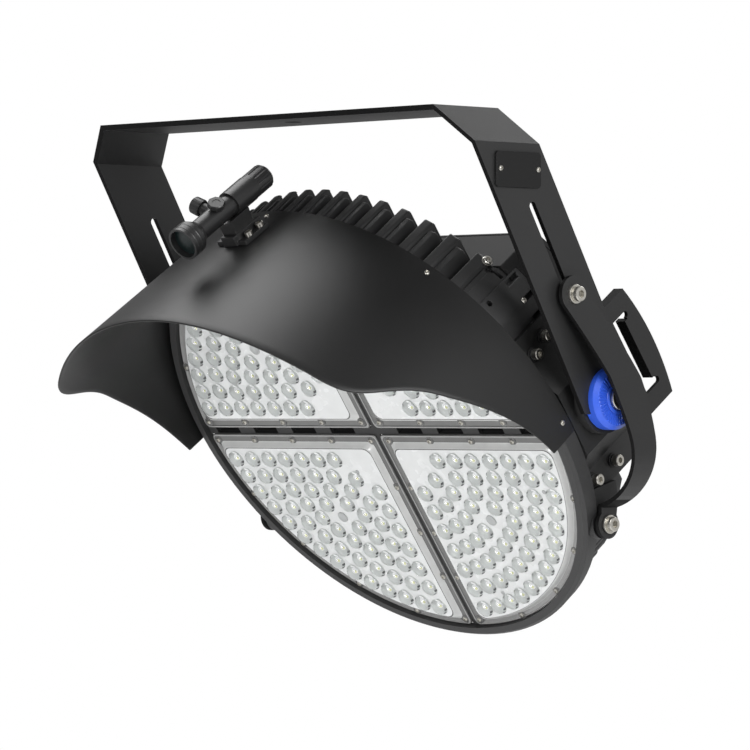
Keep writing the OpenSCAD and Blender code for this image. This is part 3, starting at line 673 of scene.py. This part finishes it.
def make_cover(index, sx, sz):
    shape = bmesh.new()
    rings = []
    for depth, straight, curved, f, _ in LEVELS:
        outline = quarter_outline(GAP_ACROSS + straight, GAP_UP + straight, COVER_R - curved, f)
        rings.append([shape.verts.new(LAMP @ Vector((sx * x, depth, sz * h))) for x, h in outline])
    for level, low, high in zip(LEVELS[1:], rings, rings[1:]):
        for i in range(len(low)):
            j = (i + 1) % len(low)
            part = ON_ARC_AND_LIP_HIGHLIGHT if level[-1] == ON_FLANGE and i in ARC_STRETCH else level[-1]
            shape.faces.new((low[i], low[j], high[j], high[i])).material_index = part
    shape.faces.new(rings[-1]).material_index = ON_FIELD
    shape.faces.new(rings[0][::-1])
    bmesh.ops.recalc_face_normals(shape, faces=shape.faces)
    mesh = mesh_of(shape, "module_cover_%d" % index)
    for material in COVER_FINISHES:
        mesh.materials.append(material)
    cover = stand(mesh.name, plain(mesh, mesh.name, 40))
    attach(cover, "lamp_head")
    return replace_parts(cover, "lens_cover_%d" % index)


QUARTERS = {1: (1, 1), 2: (-1, 1), 3: (-1, -1), 4: (1, -1)}
for index, (sx, sz) in QUARTERS.items():
    cover = make_cover(index, sx, sz)
print("four covers,", len(cover.data.polygons), "faces each")

# %% [markdown]
# ## Rules for what repeats
# Lenses, screws and ridges are all one small shape set many times. Each kind of setting is a node
# tree with named inputs that ends in real geometry in its finish. The result is kept as a plain
# mesh. The small shapes themselves are turned on a lathe from a few pairs of radius and height.

# %% Tools for rules
KINDS = {"Geometry": "Geometry", "Pattern": "Object", "Finish": "Material", "Margin": "Float",
         "Size": "Float", "Radius": "Float", "Count": "Int"}


def new_rule(name, *inputs):
    """A geometry tree, and a wire for each of its named inputs."""
    group = bpy.data.node_groups.new(name, "GeometryNodeTree")
    titles = ("Geometry",) + inputs
    for title in titles:
        group.interface.new_socket(title, in_out="INPUT", socket_type="NodeSocket" + KINDS[title])
    group.interface.new_socket("Geometry", in_out="OUTPUT", socket_type="NodeSocketGeometry")
    tree = Tree(group)
    entry = group.nodes.new("NodeGroupInput")
    return tree, [Wire(tree, entry.outputs[title]) for title in titles]


def shape_of(tree, pattern):
    return tree.add("GeometryNodeObjectInfo", {}, {"Object": pattern}, out="Geometry")


def end_rule(tree, placed, material):
    """The last nodes of every rule: real geometry, in its finish."""
    solid = tree.add("GeometryNodeRealizeInstances", {}, {0: placed})
    painted = tree.add("GeometryNodeSetMaterial", {}, {"Geometry": solid, "Material": material})
    tree.add("NodeGroupOutput", {}, {0: painted})
    return tree.tree


def run_rule(name, group, inputs, mesh=None):
    """Runs a rule on a helper object and keeps the result as a plain mesh."""
    helper = stand(name + "_helper", mesh or bpy.data.meshes.new(name + "_helper"))
    modifier = helper.modifiers.new("rule", "NODES")
    modifier.node_group = group
    for item in group.interface.items_tree:
        if item.item_type == "SOCKET" and item.in_out == "INPUT" and item.name in inputs:
            modifier[item.identifier] = inputs[item.name]
    return baked(helper, name)


def carry(made, matrix, body, slot):
    """Moves a mesh into place for good, and lets it ride on a body."""
    made.data.transform(matrix)
    if matrix.determinant() < 0:
        made.data.flip_normals()
    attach(made, body)


print("rule tools ready")

# %% [markdown]
# Screws, domes and knobs are round, so each is a profile swept about an axis. A socket is a ring
# whose radius follows a hexagon, so one lathe makes the whole bolt head in one piece.

# %% Lathe
SIX = True


def lathe(name, profile, sides):
    """A small round shape about Z. Radius 0 closes it, and SIX makes a ring six-sided."""
    shape = bmesh.new()
    rings = []
    for r, h, *six in profile:
        if r == 0:
            rings.append([shape.verts.new((0, 0, h))])
            continue
        ring = []
        for i in range(sides):
            a = 2 * math.pi * i / sides
            q = r * math.cos(math.pi / 6) / math.cos(a % (math.pi / 3) - math.pi / 6) if six else r
            ring.append(shape.verts.new((q * math.cos(a), q * math.sin(a), h)))
        rings.append(ring)
    for low, high in zip(rings, rings[1:]):
        for i in range(sides):
            j = (i + 1) % sides
            face = [low[i % len(low)], low[j % len(low)],
                    high[j % len(high)], high[i % len(high)]]
            shape.faces.new(list(dict.fromkeys(face)))
    bmesh.ops.recalc_face_normals(shape, faces=shape.faces)
    return stand(name, plain(mesh_of(shape, name), name, 40))


print("lathe ready")

# %% [markdown]
# ## Lens field
# Sixty domes lie on seven arcs in every module, with a round plug where the middle dome of the
# fourth arc would be. Placing them by hand would hide the pattern, so a rule draws each arc, puts
# a point for every lens on it and stands a small shape on each point.

# %% Lens rule
# radius of each arc and the number of lenses on it
ARCS = [(259.5, 14), (231.0, 12), (203.0, 11), (175.0, 9), (147.0, 7), (120.0, 5), (94.0, 3)]
PLUG_RADIUS, PLUG_COUNT = ARCS[3]
MARGIN = 38.0


def lens_rule():
    tree, (_, pattern, margin, material) = new_rule("lens_arcs", "Pattern", "Margin", "Finish")
    rows = []
    for radius, count in ARCS:
        first = tree.add("ShaderNodeMath", {"operation": "ARCSINE"}, {0: margin / radius})
        sweep = math.pi / 2 - first * 2.0
        halves = [(first, sweep, count)]
        if count == PLUG_COUNT:  # the middle lens gives way to the plug
            half = count // 2
            share = (half - 1) / (count - 1)
            halves = [(first, sweep * share, half),
                      (first + sweep * (1 - share), sweep * share, half)]
        for start, span, number in halves:
            arc = tree.add("GeometryNodeCurveArc", {"mode": "RADIUS"},
                           {"Resolution": number, "Radius": radius,
                            "Start Angle": start, "Sweep Angle": span})
            rows.append(tree.add("GeometryNodeCurveToPoints", {"mode": "EVALUATED"}, {0: arc}))
    points = tree.add("GeometryNodeJoinGeometry", {}, {0: rows})
    placed = tree.add("GeometryNodeInstanceOnPoints", {},
                      {"Points": points, "Instance": shape_of(tree, pattern)})
    return end_rule(tree, placed, material)


LENS_RULE = lens_rule()
print(sum(count for _, count in ARCS) - 1, "lenses for each module")

# %% [markdown]
# Each lens is six small shapes: the clear dome, a grey seat under it, dark marks on its flank that
# are a painted reflection of dark surroundings, a white ledge that is a painted highlight, a white
# cup and the yellow chip in it. In the photograph the marks sit on the same side of every lens, so
# their patterns are mirrored beforehand, quarter by quarter, and come out alike once the quarter
# itself is mirrored into place.

# %% Lens pieces
FLANK = [(11.0, 0.3), (10.75, 1.9), (9.5, 3.5)]
HIGHLIGHT_LEDGE = [(12.0, 1.9), (11.0, 2.0), (9.8, 2.1)]
# the dark marks are a painted reflection, the white ledge a painted highlight
DARK_REFLECTION_MARKS, HIGHLIGHT_MARKS = ((-18, 9), (-50, 10), (130, 9)), ((68, 17),)
# the rule works in X and Y with Z up: Y is turned up the face and Z out of the lamp
FACE = Matrix(((1, 0, 0, 0), (0, 0, -1, 0), (0, 1, 0, 0), (0, 0, 0, 1)))


def flank_marks(name, rows, marks, sx, sz):
    """Thin patches round a dome, each (middle angle, half width) as seen from the front."""
    corners, patches = [], []
    for middle, half in marks:
        for k in range(5):
            a = math.radians(middle - half + half * k / 2)
            corners += [(sx * r * math.cos(a), sz * r * math.sin(a), h) for r, h in rows]
            if k:
                n = len(corners)
                patches += [(n - 6, n - 3, n - 2, n - 5), (n - 5, n - 2, n - 1, n - 4)]
    mesh = bpy.data.meshes.new(name)
    mesh.from_pydata(corners, [], patches)
    return stand(name, mesh)


def shifted(pattern, x, y):
    pattern.data.transform(Matrix.Translation((x, y, 0)))
    return pattern


def lens_shapes(sx, sz):
    """Every shape at a lens: piece, pattern, finish and slot."""
    dome = lathe("dome_pattern", [(10.9, 0), (10.6, 2.0), (8.9, 4.4), (5.4, 6.3), (0, 7.1)], 18)
    seat = lathe("seat_pattern", [(11.3, 0.02), (11.3, 0.25), (9.4, 0.3), (8.8, 0.12),
                                  (0, 0.12)], 18)
    dark_reflection_marks = flank_marks("feet_pattern", FLANK, DARK_REFLECTION_MARKS, sx, sz)
    white_highlight = flank_marks("facet_pattern", HIGHLIGHT_LEDGE, HIGHLIGHT_MARKS, sx, sz)
    cup = lathe("cup_pattern", [(3.9, 0.12), (3.9, 0.4), (3.4, 0.5), (0, 0.45)], 12)
    chip = lathe("chip_pattern", [(1.9, 0.4), (1.9, 0.8), (1.6, 0.95), (0, 0.95)], 4)
    return (("lens_domes", dome, DOME, "clear_cover"),
            ("lens_seats", seat, SEAT, "clear_cover"),
            ("lens_feet", dark_reflection_marks, PAINTED_DARK_REFLECTION, "clear_cover"),
            ("lens_facets", white_highlight, WHITE_CUP_AND_HIGHLIGHT, "clear_cover"),
            ("led_cups", shifted(cup, sx * 3.0, sz * 3.2), WHITE_CUP_AND_HIGHLIGHT, "white_board"),
            ("led_chips", shifted(chip, sx * 3.6, sz * 1.9), CHIP, "white_board"))


ON_FIELD_FACE = LAMP @ Matrix.Translation((0, FIELD_DEPTH, 0))
for index, (sx, sz) in QUARTERS.items():
    put = ON_FIELD_FACE @ Matrix.Diagonal((sx, 1, sz, 1)) @ FACE
    for title, pattern, material, slot in lens_shapes(sx, sz):
        made = run_rule("%s_%d" % (title, index), LENS_RULE,
                        {"Pattern": pattern, "Margin": MARGIN, "Finish": material})
        carry(made, put, "lamp_head", slot)
        plain(made.data, made.name, 40)
        bpy.data.objects.remove(pattern)
        print(made.name, len(made.data.polygons), "faces")

# %% [markdown]
# ## Screws and bolts
# Every joint of the lamp is screwed: the covers along their flanges, the visor round the rim, the
# brackets on the body. A rule sets one lathed pattern on every spot and turns its axis to the
# spot's own direction, which is stored on the point as `axis`. Copying screws one by one would
# bury the few numbers that matter.


# %% Rule that sets patterns on axes
def axis_rule():
    tree, (spots, pattern, size, material) = new_rule("set_on_axes", "Pattern", "Size", "Finish")
    axis = tree.add("GeometryNodeInputNamedAttribute", {"data_type": "FLOAT_VECTOR"},
                    {"Name": "axis"})
    turn = tree.add("FunctionNodeAlignRotationToVector", {"axis": "Z"}, {"Vector": axis})
    placed = tree.add("GeometryNodeInstanceOnPoints", {},
                      {"Points": spots, "Instance": shape_of(tree, pattern),
                       "Rotation": turn, "Scale": size})
    return end_rule(tree, placed, material)


AXIS_RULE = axis_rule()
PROFILES = {
    "small_screw": (12, [(3.2, -1), (3.2, 0.8), (2.6, 1.6), (1.8, 1.9, SIX), (1.8, 0.8, SIX),
                         (0, 0.8)]),
    "screw_boss": (14, [(5.8, -0.5), (5.8, 0.5), (5.0, 1.0), (3.7, 1.0), (3.5, 0.3), (0, 0.3)]),
    "cap_bolt": (24, [(5.4, 4), (6.6, 4.2), (6.6, 11.2), (5.9, 11.9), (3.6, 11.9, SIX),
                      (3.6, 8.2, SIX), (0, 8.2)]),
    "dome_bolt": (20, [(6.2, -1), (6.2, 1.2), (5.6, 1.6), (5.4, 3.4), (4.0, 5.0), (2.4, 5.3, SIX),
                       (2.4, 3.4, SIX), (0, 3.4)]),
    "thick_washer": (20, [(8.6, -0.5), (8.6, 2.0), (7.4, 2.3), (7.4, 4.4), (6.6, 4.8), (0, 4.8)]),
    "foot_bolt": (18, [(4.6, -1), (4.6, 4.0), (4.0, 4.8), (2.4, 4.8, SIX), (2.4, 2.2, SIX),
                       (0, 2.2)]),
    "plug": (20, [(7.2, 0), (7.2, 0.9), (6.4, 1.3), (5.6, 0.8), (0, 0.8)]),
    "small_plug": (12, [(2.9, 0), (2.9, 0.5), (2.4, 0.8), (1.8, 0.4), (0, 0.4)])}


def set_out(name, kind, spots, material=STEEL, body="lamp_head"):
    """One piece with a lathed pattern on every (place, axis) pair, places in the room's metres."""
    sides, profile = PROFILES[kind]
    pattern = lathe(kind + "_pattern", profile, sides)
    mesh = bpy.data.meshes.new(name + "_spots")
    mesh.from_pydata([tuple(place) for place, _ in spots], [], [])
    axis = mesh.attributes.new("axis", "FLOAT_VECTOR", "POINT")
    for i, (_, way) in enumerate(spots):
        axis.data[i].vector = way
    made = run_rule(name, AXIS_RULE, {"Pattern": pattern, "Size": MM, "Finish": material}, mesh)
    bpy.data.objects.remove(pattern)
    plain(made.data, name, 35)
    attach(made, body)
    print(name, len(spots), "set,", len(made.data.polygons), "faces")


def on_lamp(places, way):
    """Flat places on the lamp that all face one way."""
    return [(LAMP @ Vector(q), turned(LAMP, way)) for q in places]


def on_round(way, radius, depth):
    """A place on the lamp's round side, and the way it faces."""
    return LAMP @ (way * radius + Vector((0, depth, 0))), turned(LAMP, way)


print(len(PROFILES), "small shapes to set out")

# %% [markdown]
# The cover screws stand in small clear bosses along each straight flange and round the arc.

# %% Cover screws
ALONG = (15, 82, 149, 215, 279)
SCREW_LINE_UP, SCREW_LINE_ACROSS, SCREW_ARC_R = 13.4, 11.5, 283.0
ARC_ANGLES = [math.radians(a) for a in (19.6, 37, 54.5, 72)]
OUT_OF_FACE = (0, -1, 0)
flange_spots = []
for sx, sz in QUARTERS.values():
    flange_spots += [(sx * a, FLANGE_DEPTH, sz * SCREW_LINE_UP) for a in ALONG]
    flange_spots += [(sx * SCREW_LINE_ACROSS, FLANGE_DEPTH, sz * a) for a in ALONG[1:]]
    flange_spots += [(sx * SCREW_ARC_R * math.cos(a), FLANGE_DEPTH, sz * SCREW_ARC_R * math.sin(a))
                     for a in ARC_ANGLES]
set_out("cover_bosses", "screw_boss", on_lamp(flange_spots, OUT_OF_FACE), FLANGE)
screw_spots = [(x, d - 0.5, h) for x, d, h in flange_spots]
set_out("cover_screws", "small_screw", on_lamp(screw_spots, OUT_OF_FACE))

# %% [markdown]
# The visor is screwed to the rim, the box lid and the handles to the box, the name plate to the
# leg. The brackets carry the weight, so they have socket bolts on thick washers.

# %% Body screws and bracket bolts
RIM_SCREW_R, RIM_SCREW_DEPTH = 303.3, 10.5
LID_FACE, BOX_SIDE, HANDLE_DEPTH, BRACKET_FACE, LEG_FACE = 161, 276, 152, 268, 321.5
FOOT_BOLTS = ((46, 80), (72, 88), (44, -95), (84, -97))
ring_spots = []
for a in (1.9, 46.2, 90, 133.8, 178.1):
    way = Vector((math.cos(math.radians(a)), 0, math.sin(math.radians(a))))
    ring_spots.append(on_round(way, RIM_SCREW_R, RIM_SCREW_DEPTH))
set_out("visor_screws", "small_screw", ring_spots)

lid_spots = on_lamp([(x, LID_FACE, h) for x in (-225, -75, 75, 225) for h in (-78, 160)],
                    (0, 1, 0))
eye_spots, foot_spots = [], []
for side in (-1, 1):
    lid_spots += on_lamp([(side * BOX_SIDE, HANDLE_DEPTH, h) for h in (-72, -16, 42)],
                         (side, 0, 0))
    for a, radius, depth, group in ((50.9, 288, 86, eye_spots), (63, 291.5, 78, lid_spots)):
        way = Vector((side * math.sin(math.radians(a)), 0, math.cos(math.radians(a))))
        group.append(on_round(way, radius, depth))
    foot_spots += on_lamp([(side * BRACKET_FACE, d, h) for d, h in FOOT_BOLTS], (side, 0, 0))
set_out("box_screws", "small_screw", lid_spots)
set_out("body_bolts", "dome_bolt", eye_spots)
plate_spots = [(ROOM @ Vector((LEG_FACE, y, -70.2)), Vector((1, 0, 0))) for y in (10.5, 71)]
set_out("name_plate_screws", "small_screw", plate_spots, body="yoke")
set_out("bracket_washers", "thick_washer", foot_spots, RUBBER)
set_out("bracket_bolts", "cap_bolt", foot_spots)

# %% [markdown]
# The pivot bolts, brace pins and slot bolts are turned parts with a washer and a six-sided socket.
# Their solids are plain steps, so a lathed profile with chamfers and a real socket stands in for
# each one.


# %% Turned bolts
def out_to(side, x, y, z):
    """Stands a shape at a place on one side of the lamp, with its axis pointing outward."""
    return (ROOM @ Matrix.Translation((side * x, y, z))
            @ Matrix.Rotation(side * math.pi / 2, 4, "Y"))


PIN = LAMP @ Vector((0, 23, -143)) / MM
SLOT_REACH = 136
BOLTS = {
    "slot_bolt_": ([(0, 0), (5, 0), (5, 5), (11, 5), (11, 7.6), (10.6, 8), (8.5, 8), (8.5, 14.2),
                    (7.8, 15), (4.7, 15, SIX), (4.7, 10, SIX), (0, 10)],
                   (324.0, PIVOT.y - SLOT_REACH * math.sin(RAKE),
                    PIVOT.z + SLOT_REACH * math.cos(RAKE))),
    "brace_pin_": ([(0, 0), (5, 0), (5, 13.8), (11, 13.8), (11, 15.9), (10.6, 16.3), (8.5, 16.3),
                    (8.5, 22), (7.7, 22.8), (4.7, 22.8, SIX), (4.7, 18, SIX), (0, 18)],
                   (268.9, PIN.y, PIN.z)),
    "pivot_bolt_": ([(0, 0), (12.4, 0), (13, 0.8), (13, 8), (8, 8), (8, 44.3), (13, 44.3),
                     (13, 48.2), (12.2, 49), (6.5, 49, SIX), (6.5, 45.6, SIX), (0, 45.6)],
                    (286.5, PIVOT.y, PIVOT.z))}
for side, hand in HANDS:
    for kind, (profile, place) in BOLTS.items():
        node = kind + hand
        bolt = lathe(node + "_turned", profile, 30)
        bolt.data.materials.append(STEEL)
        bolt.data.transform(out_to(side, *place))
        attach(bolt, BODY_OF[node])
        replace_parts(bolt, node)
print("six turned bolts")

# %% [markdown]
# ## Rings of ridges
# The dials carry a ring of raised marks, and the sight's side knob and the cable gland are ridged
# for grip. All of these are one small bar repeated round a circle, so one rule with a count and a
# radius makes them: each bar is turned about the axis until it points outward.


# %% Ring rule
def ring_rule():
    tree, (_, pattern, count, radius, material) = new_rule("bars_in_a_ring", "Pattern", "Count",
                                                           "Radius", "Finish")
    circle = tree.add("GeometryNodeMeshCircle", {}, {"Vertices": count, "Radius": radius})
    outward = tree.add("GeometryNodeInputPosition")
    turn = tree.add("FunctionNodeAlignRotationToVector", {"axis": "X", "pivot_axis": "Z"},
                    {"Vector": outward})
    placed = tree.add("GeometryNodeInstanceOnPoints", {},
                      {"Points": circle, "Instance": shape_of(tree, pattern), "Rotation": turn})
    return end_rule(tree, placed, material)


RING_RULE = ring_rule()


def bar(name, length, width, height, crown):
    """A bar along X with a narrower crown, standing on the XY plane."""
    a, b, c, d = length / 2, width / 2, length / 2 - crown, width / 2 - crown
    mesh = bpy.data.meshes.new(name)
    foot = [(-a, -b, 0), (a, -b, 0), (a, b, 0), (-a, b, 0)]
    top = [(-c, -d, height), (c, -d, height), (c, d, height), (-c, d, height)]
    mesh.from_pydata(foot + top, [], [(3, 2, 1, 0), (4, 5, 6, 7), (0, 1, 5, 4), (1, 2, 6, 5),
                                      (2, 3, 7, 6), (3, 0, 4, 7)])
    return stand(name, mesh)


def ring_of(name, sizes, count, radius, material, put, body, slot):
    """One piece: a ring of bars of the given sizes."""
    pattern = bar(name + "_pattern", *sizes)
    made = run_rule(name, RING_RULE,
                    {"Pattern": pattern, "Count": count, "Radius": radius, "Finish": material})
    bpy.data.objects.remove(pattern)
    carry(made, put, body, slot)
    print(name, count, "ridges")


print("ring rule ready")

# %% [markdown]
# A dial shows the rigger the tilt. It stays on the yoke while the lamp turns, so its ticks and hub
# ride on the yoke too.

# %% Dials
DIAL_FACE = 330.4
HUB = [(18.2, -0.5), (18.2, 0.9), (17.6, 1.4), (14.4, 1.4), (14.0, 0.2), (0, 0.2)]
for side, hand in HANDS:
    put = out_to(side, DIAL_FACE, PIVOT.y, PIVOT.z)
    ring_of("dial_ticks_" + hand, (11.5, 1.9, 1.1, 0.5), 44, 24.6, BLUE, put, "yoke", "blue_dial")
    hub = lathe("dial_hub_" + hand, HUB, 40)
    hub.data.materials.append(BLUE)
    carry(hub, put, "yoke", "blue_dial")

# %% [markdown]
# ## Sight
# A small telescopic sight on the visor lets the rigger aim the lamp. Its two turrets, the ridged
# side knob and the recessed green front glass make it read as a sight at a glance, so they get
# their own shapes.

# %% Sight details
SIGHT_UP = 41.5
TURRET_AT, LIP_AT, GLASS_AT = -55.6, -104.5, -110.2
CREST = (LAMP @ Matrix.Translation((0, 0, VISOR_IN + VISOR_THICK + VISOR_BACK * LEAN))
         @ Matrix.Rotation(-LEAN_ANGLE, 4, "X"))
TURRET = CREST @ Matrix.Translation((0, TURRET_AT, SIGHT_UP))
TOP_ROLL, SIDE_ROLL = math.radians(29), math.radians(-61)
FORWARD = Matrix.Rotation(math.pi / 2, 4, "X")
knob = lathe("sight_top_knob", [(0, 9.5), (7.5, 9.5), (7.5, 14.5), (10.4, 14.5), (10.4, 19.4),
                                (9.4, 20.4), (5.0, 20.4), (4.6, 19.8), (0, 19.8)], 8)
knob.data.materials.append(SIGHT)
knob.data.transform(TURRET @ Matrix.Rotation(TOP_ROLL, 4, "Y"))
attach(knob, "lamp_head")
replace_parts(knob, "sight_top_turret")
side_knob = TURRET @ Matrix.Rotation(SIDE_ROLL, 4, "Y") @ Matrix.Translation((0, 0, 21.6))
ring_of("sight_side_ridges", (1.4, 2.2, 10.2, 0.3), 14, 9.7, SIGHT, side_knob, "lamp_head",
        "sight_black")
glass = lathe("sight_front_glass", [(16.6, -0.2), (16.6, 0.4), (13, 1.2), (7, 1.8), (0, 2.0)], 32)
glass.data.materials.append(GLASS)
glass_front = CREST @ Matrix.Translation((0, GLASS_AT, SIGHT_UP)) @ FORWARD
carry(glass, glass_front, "lamp_head", "sight_black")
lip = lathe("sight_front_lip", [(19.9, 1.0), (20.3, 1.6), (20.3, 3.2), (19.9, 3.8), (19.9, 8),
                                (20.3, 8.6), (20.3, 10), (19.9, 10.6)], 40)
lip.data.materials.append(SIGHT)
lip_front = CREST @ Matrix.Translation((0, LIP_AT, SIGHT_UP)) @ FORWARD
carry(lip, lip_front @ Matrix.Translation((0, 0, -1)), "lamp_head", "sight_black")
clamp_spots = [(CREST @ Vector((x, y, 5)), turned(CREST, (0, 0, 1)))
               for x in (-18, 18) for y in (-39, -19)]
set_out("sight_foot_bolts", "foot_bolt", clamp_spots)

# %% [markdown]
# The gland under the driver box is ridged so that it can be turned. The round marks in the lens
# fields are made as plugs: a large one in the middle of each field, and three small ones that show
# in the photograph.

# %% Gland and plugs
GLAND = (LAMP @ Matrix.Translation((0, 132.5, -88)) @ Matrix.Rotation(math.pi, 4, "X")
         @ Matrix.Translation((0, 0, 11.5)))
ring_of("cable_gland_ridges", (2.0, 2.4, 13.0, 0.4), 14, 12.6, RUBBER, GLAND, "lamp_head",
        "black_plastic")
middle = PLUG_RADIUS * math.sqrt(0.5)
plug_spots = [(sx * middle, FIELD_DEPTH, sz * middle) for sx, sz in QUARTERS.values()]
set_out("field_plugs", "plug", on_lamp(plug_spots, OUT_OF_FACE), PLUG)
small_spots = [(x, FIELD_DEPTH, h) for x, h in ((231.7, -81.1), (81.1, -231.7), (-58.3, -55.7))]
set_out("small_plugs", "small_plug", on_lamp(small_spots, OUT_OF_FACE), PLUG)
